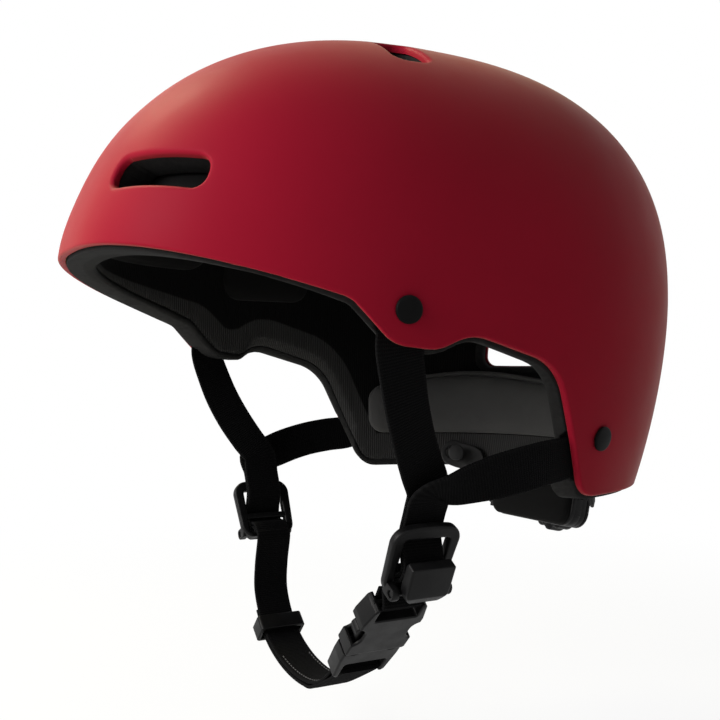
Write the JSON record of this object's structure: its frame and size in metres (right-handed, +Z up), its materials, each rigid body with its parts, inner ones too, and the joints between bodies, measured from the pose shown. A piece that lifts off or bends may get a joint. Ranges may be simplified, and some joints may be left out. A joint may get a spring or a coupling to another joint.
{
  "type": "water helmet",
  "caption": "Round red water sports helmet: vented moulded shell over a foam liner with pads, a dial fit band at the nape and a webbing chin harness with a side-release buckle.",
  "frame": {"origin": "middle of the head cavity, in the level where the shell is widest", "axes": "+Z up towards the crown, -Y towards the brow, +X towards the wearer's left"},
  "size_m": [0.214, 0.271, 0.2835],
  "materials": {
    "shell": "matte red moulded ABS",
    "foam": "dark grey closed-cell EVA foam",
    "pad": "black cloth-covered foam",
    "rivet": "black moulded rivet cap",
    "nut": "stainless steel",
    "webbing": "black ribbed polyester webbing",
    "moulding": "satin dark grey acetal"
  },
  "bodies": {
    "helmet": {"outer_shell": "shell", "foam_liner": "foam", "brow_pad": "pad", "crown_pad": "pad", "left_side_pad": "pad", "right_side_pad": "pad", "rear_pad": "pad", "left_front_rivet": "rivet", "left_rear_rivet": "rivet", "right_front_rivet": "rivet", "right_rear_rivet": "rivet", "left_front_anchor_nut": "nut", "left_rear_anchor_nut": "nut", "right_front_anchor_nut": "nut", "right_rear_anchor_nut": "nut", "left_front_strap": "webbing", "left_rear_strap": "webbing", "right_front_strap": "webbing", "right_rear_strap": "webbing", "left_divider": "moulding", "right_divider": "moulding", "buckle_female": "moulding", "dial_housing": "moulding", "dial_cover": "moulding", "nape_pad": "pad", "left_band_stud": "moulding", "right_band_stud": "moulding"},
    "dial": {"dial_knob": "moulding", "dial_pinion": "moulding"},
    "left_band": {"left_fit_band": "moulding"},
    "right_band": {"right_fit_band": "moulding"},
    "buckle_plug": {"buckle_male": "moulding"},
    "front_prong": {"buckle_front_prong": "moulding"},
    "rear_prong": {"buckle_rear_prong": "moulding"},
    "left_flap": {"left_divider_flap": "moulding"},
    "right_flap": {"right_divider_flap": "moulding"},
    "keeper": {"strap_keeper": "moulding"}
  },
  "joints": [
    {"name": "dial_turn", "type": "hinge", "parent": "helmet", "child": "dial", "pos_m": [0, 0.093, -0.0955], "axis": [0, -0.9781, 0.2079], "range_deg": [0, 70]},
    {"name": "left_band_slide", "type": "slide", "parent": "helmet", "child": "left_band", "axis": [-1, 0, 0], "range_m": [0, 0.005]},
    {"name": "right_band_slide", "type": "slide", "parent": "helmet", "child": "right_band", "axis": [1, 0, 0], "range_m": [0, 0.005]},
    {"name": "buckle_release", "type": "slide", "parent": "helmet", "child": "buckle_plug", "axis": [-0.7071, 0, -0.7071], "range_m": [0, 0.024], "deforming": ["right_front_strap"]},
    {"name": "front_prong_squeeze", "type": "hinge", "parent": "buckle_plug", "child": "front_prong", "pos_m": [0.038, -0.0313, -0.143], "axis": [-0.7071, 0, 0.7071], "range_deg": [0, 18]},
    {"name": "rear_prong_squeeze", "type": "hinge", "parent": "buckle_plug", "child": "rear_prong", "pos_m": [0.038, -0.0137, -0.143], "axis": [0.7071, 0, -0.7071], "range_deg": [0, 18]},
    {"name": "left_flap_open", "type": "hinge", "parent": "helmet", "child": "left_flap", "pos_m": [0.07522, -0.0225, -0.1149], "axis": [0, 1, 0], "range_deg": [0, 100]},
    {"name": "right_flap_open", "type": "hinge", "parent": "helmet", "child": "right_flap", "pos_m": [-0.07522, -0.0225, -0.1149], "axis": [0, -1, 0], "range_deg": [0, 100]},
    {"name": "keeper_slide", "type": "slide", "parent": "helmet", "child": "keeper", "axis": [0.7431, 0, -0.6692], "range_m": [-0.004, 0.004]}
  ],
  "couplings": [
    {"joint": "left_band_slide", "follows": "dial_turn", "m_per_rad": 0.004},
    {"joint": "right_band_slide", "follows": "dial_turn", "m_per_rad": 0.004},
    {"joint": "front_prong_squeeze", "follows": "buckle_release", "rad_per_m": 13},
    {"joint": "rear_prong_squeeze", "follows": "buckle_release", "rad_per_m": 13}
  ]
}
